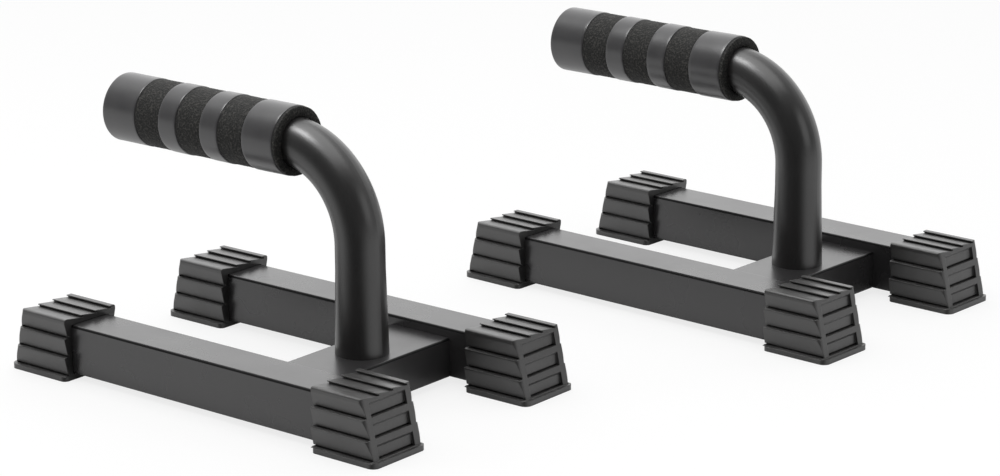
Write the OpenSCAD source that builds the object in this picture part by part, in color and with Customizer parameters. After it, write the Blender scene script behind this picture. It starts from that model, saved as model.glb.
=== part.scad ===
// Pair of push-up bars: two equal free-standing bars, each a bent handle on a base with rubber feet.
// Lengths are in millimetres. Each bar is drawn about its own post: +X runs along the rails, away from
// the grip, +Y runs across them and +Z points up, with the floor at 0.

/* [Handle tube] */
// Outside diameter of the round tube
tube_d = 25.4; // [22:0.1:28]
// Wall of the round tube
tube_wall = 1.5; // [1:0.1:2.5]
// Radius of the bend, measured to the middle of the tube
bend_r = 47; // [40:0.5:56]
// Height of the handle's axis above the floor
handle_z = 127.5; // [115:0.5:150]
// How far the post's foot swells out, all round
post_flare = 1.1; // [0.5:0.1:2]
// Height over which the post swells
flare_h = 45; // [20:1:50]

/* [Grip] */
// Length of the grip
grip_len = 122.5; // [118:0.5:135]
// Distance from the post's axis to the inner end of the grip
grip_start = 40; // [36:0.5:60]
// Diameter over the smooth skins
grip_d = 36.2; // [34:0.1:42]
// Thickness of the skins
skin_t = 1.2; // [0.8:0.1:1.8]
// How far the bare foam bands lie below the skins
band_drop = 0.3; // [0.1:0.05:0.6]
// Length of the sleeve at the outer end of the grip
outer_len = 23.5; // [16:0.5:28]
// Length of the sleeve at the inner end of the grip
inner_len = 21; // [16:0.5:28]
// Bare foam beyond the inner sleeve
foam_lip = 2; // [1:0.1:4]
// Length of the two narrow rings
ring_len = 12.5; // [8:0.5:16]

/* [Base] */
// Side of the square rails
rail_w = 26; // [22:0.5:30]
// Wall of the rails
rail_wall = 1.5; // [1:0.1:2.5]
// Corner radius of the rails and of the cross member
edge_r = 1.4; // [1:0.1:3]
// Distance between the centre lines of the two rails
rail_spacing = 115; // [100:1:140]
// Distance from the post's axis to the outer end of the feet below the grip
grip_reach = 177.6; // [165:0.1:200]
// Distance from the post's axis to the outer end of the other feet
post_reach = 75.4; // [72:0.1:100]
// Width of the cross member, along the rails
cross_w = 40; // [34:1:50]
// Height of the cross member
cross_h = 21; // [16:0.5:22]
// Wall of the cross member
cross_wall = 1.5; // [1:0.1:2.5]

/* [Feet] */
// Length of a foot along the floor
foot_len = 41; // [40:0.1:46]
// Length of a foot just above its flange
foot_low_len = 38.9; // [35:0.1:40]
// Length of a foot along its top
foot_top_len = 32.1; // [31:0.1:34]
// How far a rail reaches into its foot
pocket_depth = 28.5; // [20:0.5:29]
// Rubber between the rail and the floor
foot_sole = 3.1; // [2.9:0.1:5]
// Rubber over the rail, to the crests of the top strips
foot_roof = 3.9; // [3:0.1:6]
// Rubber beside the rail at the top of the foot
wall_top = 4.9; // [4:0.1:6]
// Rubber beside the rail just above the flange
wall_low = 5.9; // [5.5:0.1:8]
// Rubber beside the rail in the flange
wall_flange = 6.2; // [6.2:0.1:9]
// Height of the flange
flange_h = 2.8; // [2:0.1:3.5]
// Plan radius of the flange's outer corners
flange_r = 4; // [3:0.5:8]
// Plan radius of the flange's corners at the mouth
mouth_r = 3; // [1:0.5:5]
// Plan radius of the foot's corners at its top
corner_top_r = 2; // [0.5:0.1:3]
// Plan radius of the foot's corners just above the flange
corner_low_r = 2.3; // [1:0.1:6]
// Radius along the foot's two upper edges
crown_r = 1.2; // [0.8:0.1:3]

/* [Foot panels and strips] */
// Tiers of leaning panels between the flange and the top
tiers = 3; // [2:1:4]
// Depth of a side panel at its lower edge
side_depth = 2.1; // [1:0.1:3]
// Slope of the ledge under a side panel, above and below the tier's line
side_rise = 0.4; // [0.2:0.1:0.8]
// Height of the slit at the foot of a side panel
side_slit_h = 0.8; // [0.4:0.1:1.2]
// Depth of that slit, beyond the panel
side_slit = 1.2; // [0.4:0.1:1.5]
// How far the slit stops short of the outer end
side_stop = 0.9; // [0.5:0.1:4]
// Plain height over an end panel, and the height over which the panel then falls back
end_border = 2.4; // [1.5:0.1:3]
end_fall_h = 1.8; // [1:0.1:3]
// Depth of an end panel after its fall, and at its lower edge
end_fall = 1.1; // [0.4:0.1:1.4]
end_depth = 1.7; // [0.5:0.1:2.2]
// Height of the slit at the foot of an end panel
end_slit_h = 0.8; // [0.3:0.1:1.2]
// Depth of that slit, beyond the panel
end_slit = 1.2; // [0.4:0.1:1.5]
// Smooth column on each side of the end panels, at the foot's top
end_column = 5; // [4:0.1:8]
// Sill under each end panel, over the tier's line
end_sill = 0.3; // [0.2:0.1:1]
// Steps across the foot's top
steps = 3; // [2:1:3]
// Width of a strip on the foot's top
strip_pitch = 10.1; // [8:0.1:11]
// Drop of a strip from its crest to its low edge
strip_drop = 1.3; // [1:0.1:1.6]
// Flat width of each crest
strip_crest = 0.6; // [0.3:0.1:1]
// Lip beyond the last step
strip_lip = 4; // [3:0.1:5]
// Height of the slit at the foot of each step
strip_slit_h = 0.8; // [0.4:0.1:0.8]
// Depth of that slit, under the next crest
strip_slit = 1.2; // [0.4:0.1:1.5]

/* [Fastening] */
// Thread diameter of the post's screw
screw_d = 8; // [6:1:8]
// Length of the screw under its head
screw_len = 16; // [14:1:20]
// Diameter of the screw's head
head_d = 13; // [11:0.5:14]
// Height of the screw's head
head_h = 8; // [5:0.5:9]
// Width across the flats of the screw's socket
socket_af = 6; // [4:1:6]
// Depth of the screw's socket
socket_depth = 4; // [2:0.5:4.5]
// Diameter of the washer
washer_d = 16; // [15:0.5:18]
// Thickness of the washer
washer_t = 1.6; // [1:0.1:2]
// Height of the threaded insert in the foot of the post
insert_h = 15; // [14:1:25]
// Thickness of the end plug's cap
plug_cap = 2; // [1:0.1:4]
// Length of the end plug inside the tube
plug_len = 14; // [8:1:20]
// Wall of the end plug
plug_wall = 2; // [1.2:0.1:3]

/* [Pair] */
// How far the right bar stands along X from the left bar
pair_x = 83.5; // [0:0.5:120]
// How far the right bar stands along Y from the left bar
pair_y = 265; // [200:1:400]
// Turn of the right bar about its own post, in degrees
right_turn = -2.2; // [-6:0.1:6]

/* [Clearances] */
// Between a rail and its foot, on each side
foot_fit = 0.1; // [0.05:0.05:0.2]
// Between the foam and the handle tube, all round
foam_fit = 0.1; // [0.05:0.05:0.2]
// Between the foam and a skin, all round
skin_fit = 0.1; // [0.05:0.05:0.2]
// Between a plug or an insert and the tube, all round
plug_fit = 0.1; // [0.05:0.05:0.2]
// Between the screw and its thread, all round
thread_fit = 0.05; // [0.02:0.01:0.1]
// Between the screw and the washer's bore, all round
washer_fit = 0.2; // [0.1:0.05:0.3]
// Between the screw and its hole in the cross member, all round
hole_fit = 0.5; // [0.3:0.1:0.8]
// Between the washer and the access hole below it, all round
access_fit = 1; // [0.5:0.1:2]

/* [Hidden] */
$fn = 72;
hull_fn = 32;
land = 0.2;
lead = 0.2;
nip = 0.01;
over = 1;

tube_r = tube_d / 2;
tube_bore_r = tube_r - tube_wall;
grip_end = grip_start + grip_len;
tube_end = grip_end - plug_cap;
bend_z = handle_z - bend_r;

grip_r = grip_d / 2;
skin_bore_r = grip_r - skin_t;
foam_r = skin_bore_r - skin_fit;
band_r = grip_r - band_drop;
inner_sleeve_start = grip_start + foam_lip;
outer_sleeve_start = grip_end - outer_len;
// Three bare bands lie between the sleeves and the rings.
band_len = (grip_len - foam_lip - inner_len - outer_len - 2 * ring_len) / 3;
first_band = inner_sleeve_start + inner_len;
inner_ring_start = first_band + band_len;
outer_ring_start = inner_ring_start + ring_len + band_len;
band_starts = [first_band, inner_ring_start + ring_len, outer_ring_start + ring_len];

rail_z = foot_sole + foot_fit;
rail_y = rail_spacing / 2;
cross_top = rail_z + cross_h;
cross_len = rail_spacing - rail_w;
grip_mouth = grip_reach - foot_len;
post_mouth = post_reach - foot_len;
rail_back = grip_mouth + pocket_depth - foot_fit;
rail_front = post_mouth + pocket_depth - foot_fit;

pocket_w = rail_w + 2 * foot_fit;
foot_h = foot_sole + pocket_w + foot_roof;
half_top = pocket_w / 2 + wall_top;
half_low = pocket_w / 2 + wall_low;
half_flange = pocket_w / 2 + wall_flange;
tier_h = (foot_h - flange_h) / tiers;
end_half = half_top - end_column;
last_riser = half_top - strip_lip;

washer_bore_d = screw_d + 2 * washer_fit;
screw_hole_d = screw_d + 2 * hole_fit;
access_d = washer_d + 2 * access_fit;
washer_z = cross_top - cross_wall - washer_t;
insert_r = tube_bore_r - plug_fit;

// The frame's origin lies on the floor, under the middle of the box round both bars.
bar_half = rail_y + half_flange;
corner_xs = [flange_r - grip_reach, post_reach - flange_r];
corner_ys = [flange_r - bar_half, bar_half - flange_r];
flange_corners = [for (x = corner_xs, y = corner_ys) [x, y]];
right_corners = [for (p = flange_corners) [pair_x, pair_y] + turned(p, right_turn)];
corners = concat(flange_corners, right_corners);
middle = [for (i = [0, 1]) (min([for (p = corners) p[i]]) + max([for (p = corners) p[i]])) / 2];

function turned(p, a) = [p.x * cos(a) - p.y * sin(a), p.x * sin(a) + p.y * cos(a)];

// Length and half width of the foot's block at height z
function share(z) = (foot_h - z) / (foot_h - flange_h);
function end_x(z) = foot_top_len + (foot_low_len - foot_top_len) * share(z);
function side_y(z) = half_top + (half_low - half_top) * share(z);

// Places of the two bars
module left() translate([-middle.x, -middle.y, 0]) children();
module right() left() translate([pair_x, pair_y, 0]) rotate([0, 0, right_turn]) children();

// Rectangle about the origin with round corners
module rounded(w, h, r) {
    square([w, h - 2 * r], center = true);
    square([w - 2 * r, h], center = true);
    for (x = [-1, 1], y = [-1, 1]) translate([x * (w / 2 - r), y * (h / 2 - r)]) circle(r);
}

// Section of a rectangular tube
module tube_section(w, h, wall) difference() {
    rounded(w, h, edge_r);
    rounded(w - 2 * wall, h - 2 * wall, max(edge_r - wall, nip));
}

// A Y-Z drawing drawn out along +X, and an X-Z drawing drawn out to both sides of Y
module along_x(from, to) translate([from, 0, 0]) rotate([90, 0, 90]) linear_extrude(to - from) children();
module across_y(width) rotate([90, 0, 0]) linear_extrude(width, center = true) children();

// A round bar along the handle's axis, from one distance to another from the post's axis
module on_handle(start, length, r)
    translate([-start - length, 0, handle_z]) rotate([0, 90, 0]) cylinder(h = length, r = r);

// The path of the bent tube as a solid of radius r, with both ends longer by extra
module bent_bar(r, extra) {
    translate([0, 0, cross_top - extra]) cylinder(h = bend_z - cross_top + extra, r = r);
    translate([-bend_r, 0, bend_z]) rotate([90, 0, 0])
        rotate_extrude(angle = 90) translate([bend_r, 0]) circle(r);
    on_handle(bend_r, tube_end - bend_r + extra, r);
}

module handle_tube() color("#1c1c1e") difference() {
    union() {
        bent_bar(tube_r, 0);
        translate([0, 0, cross_top]) cylinder(h = flare_h, r1 = tube_r + post_flare, r2 = tube_r - nip);
    }
    bent_bar(tube_bore_r, over);
}

module handle_plug() color("#202022") difference() {
    union() {
        on_handle(tube_end, plug_cap, tube_r);
        on_handle(tube_end - plug_len, plug_len, tube_bore_r - plug_fit);
    }
    on_handle(tube_end - plug_len - over, plug_len + over, tube_bore_r - plug_fit - plug_wall);
}

module post_insert() color("silver") translate([0, 0, cross_top]) difference() {
    cylinder(h = insert_h, r = insert_r);
    translate([0, 0, -over]) cylinder(h = insert_h + 2 * over, r = screw_d / 2 + thread_fit);
}

module post_washer() color("silver") translate([0, 0, washer_z]) difference() {
    cylinder(h = washer_t, d = washer_d);
    translate([0, 0, -over]) cylinder(h = washer_t + 2 * over, d = washer_bore_d);
}

module post_screw() color("dimgray") translate([0, 0, washer_z]) difference() {
    union() {
        cylinder(h = screw_len, d = screw_d);
        translate([0, 0, -head_h]) cylinder(h = head_h, d = head_d);
    }
    translate([0, 0, -head_h - over]) cylinder(h = socket_depth + over, d = socket_af / cos(30), $fn = 6);
}

module grip_core() color("#242422") difference() {
    union() {
        on_handle(grip_start, foam_lip, band_r);
        on_handle(grip_start + foam_lip / 2, grip_len - foam_lip / 2, foam_r);
        for (start = band_starts) on_handle(start, band_len, band_r);
    }
    bent_bar(tube_r + foam_fit, plug_cap + over);
}

// One smooth skin round the foam
module grip_skin(start, length) color("#67676b") difference() {
    on_handle(start, length, grip_r);
    on_handle(start - over, length + 2 * over, skin_bore_r);
}

module rail(side) color("#2b2b2e")
    translate([0, side * rail_y, rail_z + rail_w / 2])
        along_x(-rail_back, rail_front) tube_section(rail_w, rail_w, rail_wall);

module cross_member() color("#2b2b2e") difference() {
    translate([0, 0, cross_top - cross_h / 2])
        across_y(cross_len) tube_section(cross_w, cross_h, cross_wall);
    translate([0, 0, cross_top - cross_h / 2]) cylinder(h = cross_h, d = screw_hole_d);
    translate([0, 0, rail_z - over]) cylinder(h = cross_h / 2, d = access_d);
}

// One corner-rounded plate of the foot's block, with its top at height z
module block_plate(z, length, half, r) translate([0, 0, z - land]) {
    translate([0, -half, 0]) cube([length - r, 2 * half, land]);
    for (s = [-1, 1]) translate([length - r, s * (half - r), 0]) cylinder(h = land, r = r, $fn = hull_fn);
}

// The sloping block over the flange, with its two upper edges rounded
module foot_block() intersection() {
    hull() {
        block_plate(foot_h, foot_top_len, half_top, corner_top_r);
        block_plate(flange_h, foot_low_len, half_low, corner_low_r);
    }
    along_x(-over, foot_len) {
        translate([-half_top + crown_r, 0]) square([2 * (half_top - crown_r), foot_h]);
        translate([-half_flange, 0]) square([2 * half_flange, foot_h - 2 * crown_r]);
        for (s = [-1, 1]) {
            translate([s * (half_top - crown_r), foot_h - crown_r]) circle(crown_r);
            translate([s * (half_top - crown_r), foot_h - 2 * crown_r]) square(2 * crown_r, center = true);
        }
    }
}

module foot_flange() linear_extrude(flange_h) {
    translate([mouth_r, -half_flange]) square([foot_len - mouth_r - flange_r, 2 * half_flange]);
    translate([0, mouth_r - half_flange]) square([foot_len / 2, 2 * (half_flange - mouth_r)]);
    translate([foot_len / 2, flange_r - half_flange]) square([foot_len / 2, 2 * (half_flange - flange_r)]);
    for (s = [-1, 1]) {
        translate([mouth_r, s * (half_flange - mouth_r)]) circle(mouth_r);
        translate([foot_len - flange_r, s * (half_flange - flange_r)]) circle(flange_r);
    }
}

// Leaning panels cut along both sides, tier by tier, each with a slit at its foot
module side_panels() for (i = [0:tiers - 1]) {
    top = foot_h - i * tier_h - (i == 0 ? crown_r : 0);
    bottom = foot_h - (i + 1) * tier_h;
    root = side_y(bottom) - side_depth;
    for (s = [0, 1]) mirror([0, s, 0]) {
        along_x(-over, foot_len + over) polygon([
            [side_y(top) + lead, top - land],
            [root, bottom + side_rise],
            [side_y(bottom) + over, bottom - side_rise],
            [side_y(bottom) + over, top - land]
        ]);
        along_x(-2 * over, end_x(bottom) - side_stop) translate([root - side_slit, bottom + side_rise / 2])
            square([side_slit + side_rise, side_slit_h]);
    }
}

// Leaning panels cut into the outer end, tier by tier
module end_panels() for (i = [0:tiers - 1]) {
    top = foot_h - i * tier_h - end_border;
    bottom = foot_h - (i + 1) * tier_h + end_sill;
    root = end_x(bottom) - end_depth;
    across_y(2 * end_half) polygon([
        [end_x(top) + lead, top],
        [end_x(top - end_fall_h) - end_fall, top - end_fall_h],
        [root, bottom + end_slit_h],
        [root - end_slit, bottom + end_slit_h],
        [root - end_slit, bottom],
        [end_x(bottom) + over, bottom],
        [end_x(bottom) + over, top]
    ]);
}

// Strips on the top, each sloping down to a slit under the crest of the next one
module top_strips() along_x(-over, foot_len + over) for (i = [0:steps - 1]) {
    riser = last_riser - i * strip_pitch;
    low = foot_h - strip_drop;
    crest = riser - strip_pitch + strip_crest;
    polygon([
        [crest, foot_h],
        [riser, low],
        [riser + strip_slit, low],
        [riser + strip_slit, low + strip_slit_h],
        [riser, low + strip_slit_h],
        [riser, foot_h + over],
        [crest, foot_h + over]
    ]);
}

// One foot about its rail's centre line, its mouth at x = 0 and its outer end towards +X
module foot() color("#4b4b4e") difference() {
    union() {
        foot_block();
        foot_flange();
    }
    translate([-over, -pocket_w / 2, foot_sole]) cube([pocket_depth + over, pocket_w, pocket_w]);
    side_panels();
    end_panels();
    top_strips();
}

module post_end_foot(side) translate([post_mouth, side * rail_y, 0]) foot();
module grip_end_foot(side) translate([-grip_mouth, side * rail_y, 0]) mirror([1, 0, 0]) foot();

left() rail(-1);  // left_near_rail
left() rail(1);  // left_far_rail
left() cross_member();  // left_cross_member
left() handle_tube();  // left_handle_tube
left() post_insert();  // left_post_insert
left() post_washer();  // left_post_washer
left() post_screw();  // left_post_screw
left() handle_plug();  // left_handle_plug
left() grip_core();  // left_grip_core
left() grip_skin(outer_sleeve_start, outer_len);  // left_grip_outer_sleeve
left() grip_skin(outer_ring_start, ring_len);  // left_grip_outer_ring
left() grip_skin(inner_ring_start, ring_len);  // left_grip_inner_ring
left() grip_skin(inner_sleeve_start, inner_len);  // left_grip_inner_sleeve
left() grip_end_foot(-1);  // left_foot_near_grip_end
left() grip_end_foot(1);  // left_foot_far_grip_end
left() post_end_foot(-1);  // left_foot_near_post_end
left() post_end_foot(1);  // left_foot_far_post_end
right() rail(-1);  // right_near_rail
right() rail(1);  // right_far_rail
right() cross_member();  // right_cross_member
right() handle_tube();  // right_handle_tube
right() post_insert();  // right_post_insert
right() post_washer();  // right_post_washer
right() post_screw();  // right_post_screw
right() handle_plug();  // right_handle_plug
right() grip_core();  // right_grip_core
right() grip_skin(outer_sleeve_start, outer_len);  // right_grip_outer_sleeve
right() grip_skin(outer_ring_start, ring_len);  // right_grip_outer_ring
right() grip_skin(inner_ring_start, ring_len);  // right_grip_inner_ring
right() grip_skin(inner_sleeve_start, inner_len);  // right_grip_inner_sleeve
right() grip_end_foot(-1);  // right_foot_near_grip_end
right() grip_end_foot(1);  // right_foot_far_grip_end
right() post_end_foot(-1);  // right_foot_near_post_end
right() post_end_foot(1);  // right_foot_far_post_end
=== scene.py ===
"""Looks of a pair of push-up bars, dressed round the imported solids.

Lengths are in metres, in the solids' own frame: +X runs along the left bar's rails, +Y across them
and +Z points up from the floor. Colours are linear red, green and blue. Texture scales are in
repeats a metre.
"""
import math

import bmesh
import bpy
from mathutils import Matrix, Vector, noise


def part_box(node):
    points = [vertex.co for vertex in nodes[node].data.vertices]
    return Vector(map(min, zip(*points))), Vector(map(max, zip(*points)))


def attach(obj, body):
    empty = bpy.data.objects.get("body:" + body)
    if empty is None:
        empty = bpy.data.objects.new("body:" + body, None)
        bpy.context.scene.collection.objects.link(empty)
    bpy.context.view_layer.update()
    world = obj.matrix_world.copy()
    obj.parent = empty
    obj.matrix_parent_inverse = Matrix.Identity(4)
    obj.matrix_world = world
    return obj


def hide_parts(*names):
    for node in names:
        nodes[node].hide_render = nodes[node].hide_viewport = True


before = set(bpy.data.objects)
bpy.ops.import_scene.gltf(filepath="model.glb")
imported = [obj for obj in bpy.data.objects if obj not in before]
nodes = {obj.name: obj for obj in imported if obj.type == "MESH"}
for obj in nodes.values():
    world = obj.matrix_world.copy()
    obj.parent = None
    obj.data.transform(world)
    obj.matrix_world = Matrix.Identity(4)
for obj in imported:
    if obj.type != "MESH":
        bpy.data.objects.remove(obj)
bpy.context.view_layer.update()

MM = 0.001
BARS = ("left", "right")
BODY = {"left": "left_bar", "right": "right_bar"}

# The camera, as fitted to the photograph: its place from the left bar's post, and its angles in degrees
CAMERA_FROM_POST = Vector((1018.2, -1127.8, 519.1)) * MM
CAMERA_AZIMUTH = 39.442
CAMERA_ELEVATION = 16.018
CAMERA_ROLL = -0.472
SENSOR = 36.0
LENS = 114.06
NEAREST, FARTHEST = 0.05, 50

# The right bar stands a little turned about its own post
TURN = {"left": 0.0, "right": math.radians(-2.2)}

# Grips: how their rings are cut, and (height, size) of the unevenness on them
GRIP_SEGMENTS = 160
CORNER_STEPS = 4
SKIN_THICKNESS = 1.2 * MM
SKIN_EDGE = 0.5 * MM
SKIN_STEP = 1.5 * MM
SKIN_LUMPS = [(0.12 * MM, 14 * MM)]
FOAM_UNDER_SKIN = 1.3 * MM  # how far the foam lies below the skin's outside
FOAM_EDGE = 0.4 * MM
FOAM_STEP = 0.45 * MM
FOAM_LUMPS = [(0.12 * MM, 0.9 * MM), (0.1 * MM, 4 * MM)]
LUMPS_APART = 17  # so that the two bars' lumps differ

# Floor
FLOOR_HALF = 12.0
FLOOR_COLOUR = (0.9, 0.9, 0.9)
FLOOR_ROUGHNESS = 0.9
FLOOR_GLOW = 0.8  # share of plain white in what the camera sees
FLOOR_BOUNCE = 0.6  # share of its colour in the light that it sends back
FLOOR_SHADE_REACH = 80 * MM  # how near the object's pieces paint shade on it in reflections

# The bowl under the floor that reflections see in its place
BOWL_RADIUS = 11.0
BOWL_RIM = 10 * MM  # none of it stands higher
BOWL_RINGS = 24
BOWL_FRONT = (0.34, -0.94, 0)  # the direction in which it is dark
BOWL_BRIGHT = 0.92
BOWL_DARK = 0.09

# World: strengths in front of the object and behind it, and how the one passes into the other
WORLD_FRONT = 0.15
WORLD_BEHIND = 1.6
WORLD_CURVE = 1.5
WORLD_LIFT = 0.1

# Lamps: place, aim, width, height, watts, seen in reflections, lights dull surfaces
SOFTBOXES = {
    "top_light": ((-0.05, -0.2, 1.7), (0, 0, 0), 1.8, 1.7, 18, True, True),
    "bend_light": ((-0.73, -0.71, 2.415), (0, 0, 0.1), 0.8, 0.6, 19, True, False),
    "left_light": ((-1.2, -1.45, 0.6), (0, 0, 0.05), 0.8, 0.8, 7, False, True),
    "right_light": ((1.4, 0.1, 0.6), (0, 0, 0.05), 0.8, 0.8, 2, True, True),
}


def centre(node):
    low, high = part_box(node)
    return (low + high) / 2


POST = {bar: centre(f"{bar}_post_insert") for bar in BARS}
HANDLE_Z = centre("left_grip_core").z


def place(bar):
    """The bar's own frame, with its post's axis at the origin, in the shared frame."""
    return Matrix.Translation((POST[bar].x, POST[bar].y, 0)) @ Matrix.Rotation(TURN[bar], 4, "Z")


def object_from(mesh, name):
    """A new object in the scene, made from a bmesh."""
    data = bpy.data.meshes.new(name)
    mesh.to_mesh(data)
    mesh.free()
    made = bpy.data.objects.new(name, data)
    bpy.context.scene.collection.objects.link(made)
    return made


def dress(node, material):
    node.data.materials.clear()
    node.data.materials.append(material)


# Shader nodes

def new_material(name):
    """A node material, its tree and its Principled shader."""
    material = bpy.data.materials.new(name)
    material.use_nodes = True
    tree = material.node_tree
    shader = tree.nodes["Principled BSDF"]
    return material, tree, shader


def add(tree, kind, inputs=None, **settings):
    node = tree.nodes.new(kind)
    for key, value in settings.items():
        setattr(node, key, value)
    for key, value in (inputs or {}).items():
        node.inputs[key].default_value = value
    return node


def link(tree, source, output, target, socket):
    tree.links.new(source.outputs[output], target.inputs[socket])


def combine(tree, operation, first, output, second, other):
    """A sum, product or the like of two nodes' values."""
    node = add(tree, "ShaderNodeMath", operation=operation)
    link(tree, first, output, node, 0)
    link(tree, second, other, node, 1)
    return node


def grain(tree, scale, detail=4.0, roughness=0.6, stretch=(1, 1, 1), kind="ShaderNodeTexNoise"):
    """A texture laid on the piece in its own coordinates."""
    coordinates = add(tree, "ShaderNodeTexCoord")
    mapping = add(tree, "ShaderNodeMapping", {"Scale": stretch})
    link(tree, coordinates, "Object", mapping, "Vector")
    settings = {"Scale": scale}
    if kind == "ShaderNodeTexNoise":
        settings.update(Detail=detail, Roughness=roughness)
    texture = add(tree, kind, settings)
    link(tree, mapping, "Vector", texture, "Vector")
    return texture


def ramp(tree, source, output, stops):
    """A colour ramp over a node's value; stops are (position, (r, g, b))."""
    node = add(tree, "ShaderNodeValToRGB")
    elements = node.color_ramp.elements
    while len(elements) < len(stops):
        elements.new(0.5)
    for element, (position, colour) in zip(elements, stops):
        element.position = position
        element.color = (*colour, 1)
    link(tree, source, output, node, "Fac")
    return node


def mottle(tree, texture, dark, light, start=0.3, end=0.7):
    """Two tones of one colour that pass into each other over a texture."""
    return ramp(tree, texture, "Fac", [(start, dark), (end, light)])


def spread(tree, source, output, low, high, start=0.3, end=0.7):
    """A node's value mapped from start..end to low..high."""
    limits = {"From Min": start, "From Max": end, "To Min": low, "To Max": high}
    node = add(tree, "ShaderNodeMapRange", limits)
    link(tree, source, output, node, "Value")
    return node


def bump(tree, source, output, strength, distance, before=None):
    node = add(tree, "ShaderNodeBump", {"Strength": strength, "Distance": distance})
    link(tree, source, output, node, "Height")
    if before:
        link(tree, before, "Normal", node, "Normal")
    return node


def soft_edges(tree, radius):
    """Normals that turn softly over the solid's edges."""
    return add(tree, "ShaderNodeBevel", {"Radius": radius}, samples=6)


def openness(tree, reach, samples=8, only_local=False):
    """1 where nothing stands near the surface, falling to 0 in its corners and grooves."""
    settings = {"samples": samples, "only_local": only_local}
    return add(tree, "ShaderNodeAmbientOcclusion", {"Distance": reach}, **settings)


def facing_axes(tree):
    """The surface's normal, split into X, Y and Z."""
    geometry = add(tree, "ShaderNodeNewGeometry")
    axes = add(tree, "ShaderNodeSeparateXYZ")
    link(tree, geometry, "Normal", axes, "Vector")
    return axes


def surface(tree, shader):
    link(tree, shader, 0, tree.nodes["Material Output"], "Surface")


# Materials

def powder_coat(name, dark, light, roughness, speckle, shine, edge=1.0):
    """Satin black powder coat: a fine orange peel under slow changes of tone and gloss.

    edge is the share of the tone and shine left over the edges that face neither up nor to a side:
    painted shade there.
    """
    cloud_scale, peel_scale, peel_height = 24, 900, 0.1 * MM
    material, tree, shader = new_material(name)
    clouds = grain(tree, cloud_scale, detail=3)
    tone = mottle(tree, clouds, dark, light, 0.35, 0.65)
    link(tree, tone, "Color", shader, "Base Color")
    gloss = spread(tree, clouds, "Fac", roughness - 0.03, roughness + 0.04)
    link(tree, gloss, "Result", shader, "Roughness")
    peel = bump(tree, grain(tree, peel_scale, detail=2), "Fac", speckle, peel_height)
    link(tree, peel, "Normal", shader, "Normal")
    shader.inputs["Specular IOR Level"].default_value = shine
    if edge < 1:
        painted_edge_shade(tree, shader, tone, shine, edge)
    return material


def painted_edge_shade(tree, shader, tone, shine, edge):
    """Painted shade on a rounded edge between a side and the top: less tone and shine there."""
    full, painted_dark = (1, 1, 1), (edge, edge, edge)
    stops = [(0.0, full), (0.12, full), (0.3, painted_dark), (0.9, painted_dark), (0.985, full)]
    level = ramp(tree, facing_axes(tree), "Z", stops)
    specular = add(tree, "ShaderNodeMath", {1: shine}, operation="MULTIPLY")
    link(tree, level, "Color", specular, 0)
    link(tree, specular, "Value", shader, "Specular IOR Level")
    colour = add(tree, "ShaderNodeMix", {"Factor": 1.0}, data_type="RGBA", blend_type="MULTIPLY")
    link(tree, tone, "Color", colour, 6)
    link(tree, level, "Color", colour, 7)
    link(tree, colour, 2, shader, "Base Color")


def mouth_shade(tree, axes):
    """Painted shade on the ends of the feet close to the rails: 1 away from them, down to 0.1 beside
    them.
    """
    mouth_reach = 12 * MM
    dark = spread(tree, openness(tree, mouth_reach), "AO", 0.1, 1.0, 0.5, 0.95)
    along = add(tree, "ShaderNodeMath", operation="ABSOLUTE")
    link(tree, axes, "X", along, 0)
    ends = spread(tree, along, "Value", 0.0, 1.0, 0.8, 0.95)
    shade = add(tree, "ShaderNodeMix", {"A": 1.0}, data_type="FLOAT")
    link(tree, ends, "Result", shade, "Factor")
    link(tree, dark, "Result", shade, "B")
    return shade


def lit_top_streaks(tree, tone, axes):
    """The rubber's tone, with painted light in pale streaks along the rails where it faces up."""
    streak_scale, along_rails, painted_light_grey = 520, (0.12, 1, 0.5), (0.16, 0.157, 0.154, 1)
    streaks = grain(tree, streak_scale, detail=5, roughness=0.7, stretch=along_rails)
    streak_mask = spread(tree, streaks, "Fac", 0.0, 1.0, 0.5, 0.72)
    # Painted light on the faces that look up
    upward = spread(tree, axes, "Z", 0.0, 0.5, 0.7, 1.0)
    amount = combine(tree, "MULTIPLY", streak_mask, "Result", upward, "Result")
    lit_top_tone = add(tree, "ShaderNodeMix", data_type="RGBA")
    link(tree, tone, "Color", lit_top_tone, 6)
    lit_top_tone.inputs[7].default_value = painted_light_grey
    link(tree, amount, "Value", lit_top_tone, 0)
    return lit_top_tone


def moulded_rubber():
    """Dark grey rubber: dull, with painted light in pale streaks on top, painted shade in its slits and
    on its ends beside the rails, and a fine mould grain.
    """
    cloud_scale, coarse_scale, fine_scale = 60, 260, 1600
    coarse_height, fine_height = 0.25 * MM, 0.1 * MM
    edge_radius, slit_reach = 0.5 * MM, 2 * MM
    material, tree, shader = new_material("moulded_rubber")
    clouds = grain(tree, cloud_scale, detail=5)
    tone = mottle(tree, clouds, (0.024, 0.023, 0.023), (0.034, 0.033, 0.032))
    axes = facing_axes(tree)
    lit_top_tone = lit_top_streaks(tree, tone, axes)
    # Painted shade in the slits, multiplied by the painted shade on the ends beside the rails
    slit_shade = spread(tree, openness(tree, slit_reach, only_local=True), "AO", 0.05, 1.0, 0.15, 0.6)
    painted_shade = combine(tree, "MULTIPLY", slit_shade, "Result", mouth_shade(tree, axes), "Result")
    shaded = add(tree, "ShaderNodeVectorMath", operation="SCALE")
    link(tree, lit_top_tone, 2, shaded, 0)
    link(tree, painted_shade, "Value", shaded, "Scale")
    link(tree, shaded, "Vector", shader, "Base Color")
    gloss = spread(tree, clouds, "Fac", 0.35, 0.45)
    link(tree, gloss, "Result", shader, "Roughness")
    soft = soft_edges(tree, edge_radius)
    coarse = bump(tree, grain(tree, coarse_scale), "Fac", 0.35, coarse_height, before=soft)
    fine = bump(tree, grain(tree, fine_scale, detail=2), "Fac", 0.25, fine_height, before=coarse)
    link(tree, fine, "Normal", shader, "Normal")
    shader.inputs["Specular IOR Level"].default_value = 1.0
    return material


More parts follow.
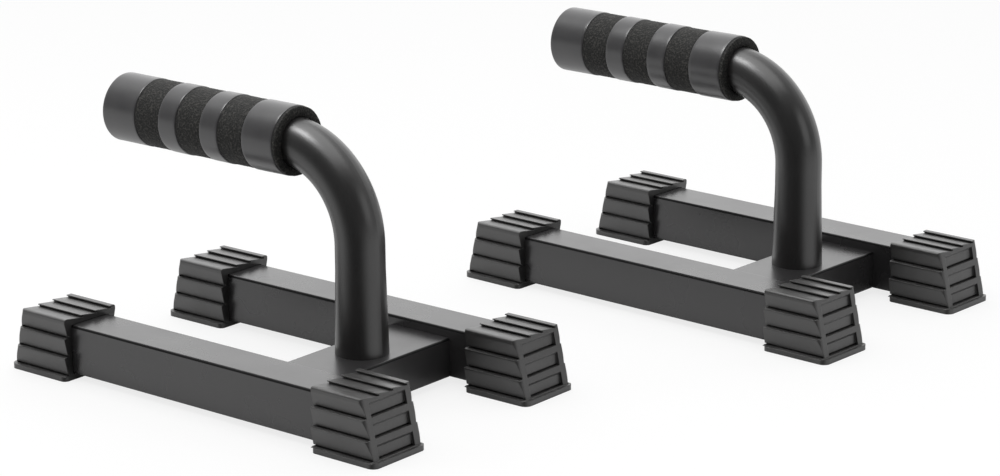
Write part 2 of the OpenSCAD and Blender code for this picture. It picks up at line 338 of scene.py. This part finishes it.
def porous_foam():
    """Open black foam: painted shade in its pores between lighter cell walls."""
    cell_scale, lump_scale = 1000, 420
    pore_height, lump_height = 0.35 * MM, 0.4 * MM
    material, tree, shader = new_material("porous_foam")
    cells = grain(tree, cell_scale, kind="ShaderNodeTexVoronoi")
    # The pores' near-black colour is painted shade
    pore_shade, middle, wall = (0.005, 0.005, 0.005), (0.016, 0.016, 0.015), (0.05, 0.048, 0.044)
    tone = ramp(tree, cells, "Distance", [(0.0, pore_shade), (0.55, middle), (0.85, wall)])
    link(tree, tone, "Color", shader, "Base Color")
    shader.inputs["Roughness"].default_value = 0.75
    pores = bump(tree, cells, "Distance", 0.9, pore_height)
    lumps = bump(tree, grain(tree, lump_scale), "Fac", 0.5, lump_height, before=pores)
    link(tree, lumps, "Normal", shader, "Normal")
    shader.inputs["Specular IOR Level"].default_value = 0.35
    return material


def smooth_skin():
    """Grey satin skin over the foam, faintly mottled."""
    cloud_scale, skin_scale, skin_height = 90, 700, 0.12 * MM
    material, tree, shader = new_material("grip_skin_grey")
    clouds = grain(tree, cloud_scale)
    tone = mottle(tree, clouds, (0.019, 0.018, 0.020), (0.027, 0.026, 0.028))
    link(tree, tone, "Color", shader, "Base Color")
    gloss = spread(tree, clouds, "Fac", 0.29, 0.36)
    link(tree, gloss, "Result", shader, "Roughness")
    skin = bump(tree, grain(tree, skin_scale, detail=3), "Fac", 0.2, skin_height)
    link(tree, skin, "Normal", shader, "Normal")
    shader.inputs["Specular IOR Level"].default_value = 1.0
    return material


def bare_metal(name, colour, roughness):
    """Plated or blackened steel with turning marks."""
    mark_scale, across_axis, mark_tone = 1200, (1, 1, 6), 0.85
    material, tree, shader = new_material(name)
    marks = grain(tree, mark_scale, detail=3, stretch=across_axis)
    tone = mottle(tree, marks, tuple(mark_tone * c for c in colour), colour)
    link(tree, tone, "Color", shader, "Base Color")
    shader.inputs["Metallic"].default_value = 1.0
    gloss = spread(tree, marks, "Fac", roughness - 0.05, roughness + 0.08)
    link(tree, gloss, "Result", shader, "Roughness")
    return material


def black_plastic():
    """Moulded black plastic with a fine grain."""
    cloud_scale, grain_scale, grain_height = 300, 1400, 0.1 * MM
    material, tree, shader = new_material("black_plastic")
    clouds = grain(tree, cloud_scale)
    tone = mottle(tree, clouds, (0.012, 0.012, 0.012), (0.02, 0.02, 0.02))
    link(tree, tone, "Color", shader, "Base Color")
    shader.inputs["Roughness"].default_value = 0.5
    texture = bump(tree, grain(tree, grain_scale, detail=2), "Fac", 0.3, grain_height)
    link(tree, texture, "Normal", shader, "Normal")
    return material


TUBE = powder_coat("handle_coat", (0.010, 0.010, 0.010), (0.014, 0.013, 0.013), 0.32, 0.10, 0.9)
# The base's rounded top edges get painted shade: a fifth of their tone and shine
BASE = powder_coat("base_coat", (0.026, 0.025, 0.026), (0.032, 0.031, 0.032), 0.28, 0.12, 0.76, edge=0.2)
RUBBER = moulded_rubber()
FOAM = porous_foam()
SKIN = smooth_skin()
STEEL = bare_metal("zinc_steel", (0.60, 0.60, 0.61), 0.3)
SCREW = bare_metal("black_steel", (0.10, 0.10, 0.10), 0.4)
PLASTIC = black_plastic()

DRESS = {
    "near_rail": BASE, "far_rail": BASE, "cross_member": BASE,
    "handle_tube": TUBE, "post_insert": STEEL, "post_washer": STEEL, "post_screw": SCREW,
    "handle_plug": PLASTIC,
    "foot_near_grip_end": RUBBER, "foot_far_grip_end": RUBBER,
    "foot_near_post_end": RUBBER, "foot_far_post_end": RUBBER,
}

for bar in BARS:
    for name, material in DRESS.items():
        dress(nodes[f"{bar}_{name}"], material)


# Grips: turned rings of foam and skin

def distances(name):
    """How far from the post's axis a piece of the left grip starts and ends, along the handle."""
    low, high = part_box(f"left_{name}")
    return POST["left"].x - high.x, POST["left"].x - low.x


def radius(name):
    low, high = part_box(f"left_{name}")
    return (high.z - low.z) / 2


def rounded_run(start, end, radius_out, edge, step):
    """Points (distance, radius) along the outside of a ring, with both edges rounded."""
    turns = [math.pi / 2 * i / CORNER_STEPS for i in range(CORNER_STEPS + 1)]
    corner = [(edge * (1 - math.cos(a)), edge * (1 - math.sin(a))) for a in turns]
    first = [(start + d, radius_out - r) for d, r in corner]
    last = [(end - d, radius_out - r) for d, r in reversed(corner)]
    length = end - start - 2 * edge
    count = max(1, round(length / step))
    middle = [(start + edge + length * i / count, radius_out) for i in range(1, count)]
    return first + middle + last


def turned(name, outline, bar, lumps):
    """A solid of revolution about the handle's axis from a closed outline of (distance, radius).

    lumps lists (height, size) of smooth unevenness added to its surface.
    """
    mesh = bmesh.new()
    matrix = place(bar)
    apart = Vector((LUMPS_APART * BARS.index(bar), 0, 0))
    rings = []
    for distance, r in outline:
        ring = []
        for i in range(GRIP_SEGMENTS):
            a = 2 * math.pi * i / GRIP_SEGMENTS
            reach = r
            for height, size in lumps:
                at = Vector((distance, r * math.cos(a), r * math.sin(a))) / size
                reach += height * noise.noise(at + apart)
            point = Vector((-distance, reach * math.cos(a), HANDLE_Z + reach * math.sin(a)))
            ring.append(mesh.verts.new(matrix @ point))
        rings.append(ring)
    for here, there in zip(rings, rings[1:] + rings[:1]):
        for i in range(GRIP_SEGMENTS):
            j = (i + 1) % GRIP_SEGMENTS
            mesh.faces.new((here[i], here[j], there[j], there[i]))
    bmesh.ops.recalc_face_normals(mesh, faces=mesh.faces)
    piece = object_from(mesh, name)
    piece.data.shade_smooth()
    return piece


def grip_skin(bar, name):
    """One grey sleeve or ring."""
    start, end = distances(f"grip_{name}")
    out = radius(f"grip_{name}")
    inner = out - SKIN_THICKNESS
    outline = rounded_run(start, end, out, SKIN_EDGE, SKIN_STEP) + [(end, inner), (start, inner)]
    piece = turned(f"{bar}_skin_{name}", outline, bar, SKIN_LUMPS)
    dress(piece, SKIN)
    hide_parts(f"{bar}_grip_{name}")
    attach(piece, BODY[bar])


def grip_foam(bar):
    """The foam tube: full size at its bare bands and its inner lip, thinner under the skins."""
    start, end = distances("grip_core")
    out = radius("grip_core")
    under = radius("grip_outer_ring") - FOAM_UNDER_SKIN
    bore = radius("handle_plug")
    names = ("inner_sleeve", "inner_ring", "outer_ring", "outer_sleeve")
    skins = [distances(f"grip_{name}") for name in names]
    band_starts = [start] + [skin_end for _, skin_end in skins[:-1]]
    outline = []
    for band_start, (skin_start, _) in zip(band_starts, skins):
        outline += [(band_start, under)] if outline else []
        outline += rounded_run(band_start, skin_start, out, FOAM_EDGE, FOAM_STEP)
        outline += [(skin_start, under)]
    outline += [(end, under), (end, bore), (start, bore)]
    piece = turned(f"{bar}_grip_foam", outline, bar, FOAM_LUMPS)
    dress(piece, FOAM)
    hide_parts(f"{bar}_grip_core")
    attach(piece, BODY[bar])


for bar in BARS:
    grip_foam(bar)
    for name in ("outer_sleeve", "outer_ring", "inner_ring", "inner_sleeve"):
        grip_skin(bar, name)


# Camera

def aim_camera():
    a, e, roll = (math.radians(v) for v in (CAMERA_AZIMUTH, CAMERA_ELEVATION, CAMERA_ROLL))
    back = Vector((math.sin(a) * math.cos(e), -math.cos(a) * math.cos(e), math.sin(e)))
    level = Vector((math.cos(a), math.sin(a), 0))
    upright = back.cross(level)
    right = math.cos(roll) * level + math.sin(roll) * upright
    up = math.cos(roll) * upright - math.sin(roll) * level
    data = bpy.data.cameras.new("camera")
    data.sensor_width = SENSOR
    data.lens = LENS
    data.clip_start, data.clip_end = NEAREST, FARTHEST
    camera = bpy.data.objects.new("camera", data)
    rotation = Matrix((right, up, back)).transposed().to_4x4()
    spot = Vector((POST["left"].x, POST["left"].y, 0)) + CAMERA_FROM_POST
    camera.matrix_world = Matrix.Translation(spot) @ rotation
    bpy.context.scene.collection.objects.link(camera)
    bpy.context.scene.camera = camera


# Floor and light

def make_floor():
    """White floor with the object's shadow.

    Reflections look through it to the bowl below, with painted shade close to the object.
    """
    mesh = bmesh.new()
    bmesh.ops.create_grid(mesh, x_segments=1, y_segments=1, size=FLOOR_HALF)
    floor = object_from(mesh, "floor")
    material, tree, shader = new_material("floor_white")
    path = add(tree, "ShaderNodeLightPath")
    bounce = spread(tree, path, "Is Diffuse Ray", 1.0, FLOOR_BOUNCE, 0.0, 1.0)
    colour = add(tree, "ShaderNodeVectorMath", {0: FLOOR_COLOUR}, operation="SCALE")
    link(tree, bounce, "Result", colour, "Scale")
    link(tree, colour, "Vector", shader, "Base Color")
    shader.inputs["Roughness"].default_value = FLOOR_ROUGHNESS
    shader.inputs["Specular IOR Level"].default_value = 0.0
    direct = combine(tree, "MAXIMUM", path, "Is Camera Ray", path, "Is Transmission Ray")
    share = add(tree, "ShaderNodeMath", {1: FLOOR_GLOW}, operation="MULTIPLY")
    link(tree, direct, "Value", share, 0)
    lit = add(tree, "ShaderNodeMixShader")
    link(tree, share, "Value", lit, 0)
    link(tree, shader, 0, lit, 1)
    link(tree, add(tree, "ShaderNodeEmission"), 0, lit, 2)
    # Painted shade on the floor as reflections see it, close to the object's pieces
    shelter = openness(tree, FLOOR_SHADE_REACH, samples=4)
    floor_shade = spread(tree, shelter, "AO", 0.1, 1.0, 0.35, 0.72)
    through = add(tree, "ShaderNodeBsdfTransparent")
    link(tree, floor_shade, "Result", through, "Color")
    seen = add(tree, "ShaderNodeMixShader")
    link(tree, path, "Is Glossy Ray", seen, 0)
    link(tree, lit, 0, seen, 1)
    link(tree, through, 0, seen, 2)
    surface(tree, seen)
    dress(floor, material)


def make_bowl():
    """What reflections see of the floor: bright all round and dark toward the front."""
    mesh = bmesh.new()
    bmesh.ops.create_uvsphere(mesh, u_segments=2 * BOWL_RINGS, v_segments=BOWL_RINGS, radius=BOWL_RADIUS)
    upper = [v for v in mesh.verts if v.co.z > BOWL_RIM]
    bmesh.ops.delete(mesh, geom=upper, context="VERTS")
    bowl = object_from(mesh, "underside")
    bowl.visible_camera = False
    bowl.visible_diffuse = False
    bowl.visible_shadow = False
    material, tree, _ = new_material("underside_white")
    material.cycles.emission_sampling = "NONE"
    toward = add(tree, "ShaderNodeVectorMath", operation="NORMALIZE")
    link(tree, add(tree, "ShaderNodeNewGeometry"), "Position", toward, 0)
    front = add(tree, "ShaderNodeVectorMath", {1: BOWL_FRONT}, operation="DOT_PRODUCT")
    link(tree, toward, "Vector", front, 0)
    shade = spread(tree, front, "Value", BOWL_BRIGHT, BOWL_DARK, 0.5, 0.93)
    glow = add(tree, "ShaderNodeEmission")
    link(tree, shade, "Result", glow, "Strength")
    surface(tree, glow)
    dress(bowl, material)


def make_world():
    """A white studio, brighter behind the object than on the photograph's side."""
    world = bpy.data.worlds.new("studio")
    bpy.context.scene.world = world
    world.use_nodes = True
    tree = world.node_tree
    background = tree.nodes["Background"]
    background.inputs["Color"].default_value = (1, 1, 1, 1)
    a = math.radians(CAMERA_AZIMUTH)
    behind = (-math.sin(a), math.cos(a), WORLD_LIFT)
    facing = add(tree, "ShaderNodeVectorMath", {1: behind}, operation="DOT_PRODUCT")
    link(tree, add(tree, "ShaderNodeTexCoord"), "Generated", facing, 0)
    rise = spread(tree, facing, "Value", 0.0, 1.0, -0.5, 0.95)
    curve = add(tree, "ShaderNodeMath", {1: WORLD_CURVE}, operation="POWER")
    link(tree, rise, "Result", curve, 0)
    tone = spread(tree, curve, "Value", WORLD_FRONT, WORLD_BEHIND, 0.0, 1.0)
    path = add(tree, "ShaderNodeLightPath")
    level = combine(tree, "MAXIMUM", tone, "Result", path, "Is Camera Ray")
    link(tree, level, "Value", background, "Strength")


def softbox(name, spot, aim, width, height, watts, mirrored, diffuse):
    data = bpy.data.lights.new(name, "AREA")
    data.shape = "RECTANGLE"
    data.size, data.size_y = width, height
    data.energy = watts
    lamp = bpy.data.objects.new(name, data)
    lamp.location = spot
    lamp.visible_glossy = mirrored
    lamp.visible_diffuse = diffuse
    lamp.rotation_euler = (Vector(aim) - Vector(spot)).to_track_quat("-Z", "Y").to_euler()
    bpy.context.scene.collection.objects.link(lamp)


aim_camera()
make_floor()
make_bowl()
make_world()
for name, settings in SOFTBOXES.items():
    softbox(name, *settings)
bpy.context.scene.view_settings.view_transform = "Standard"
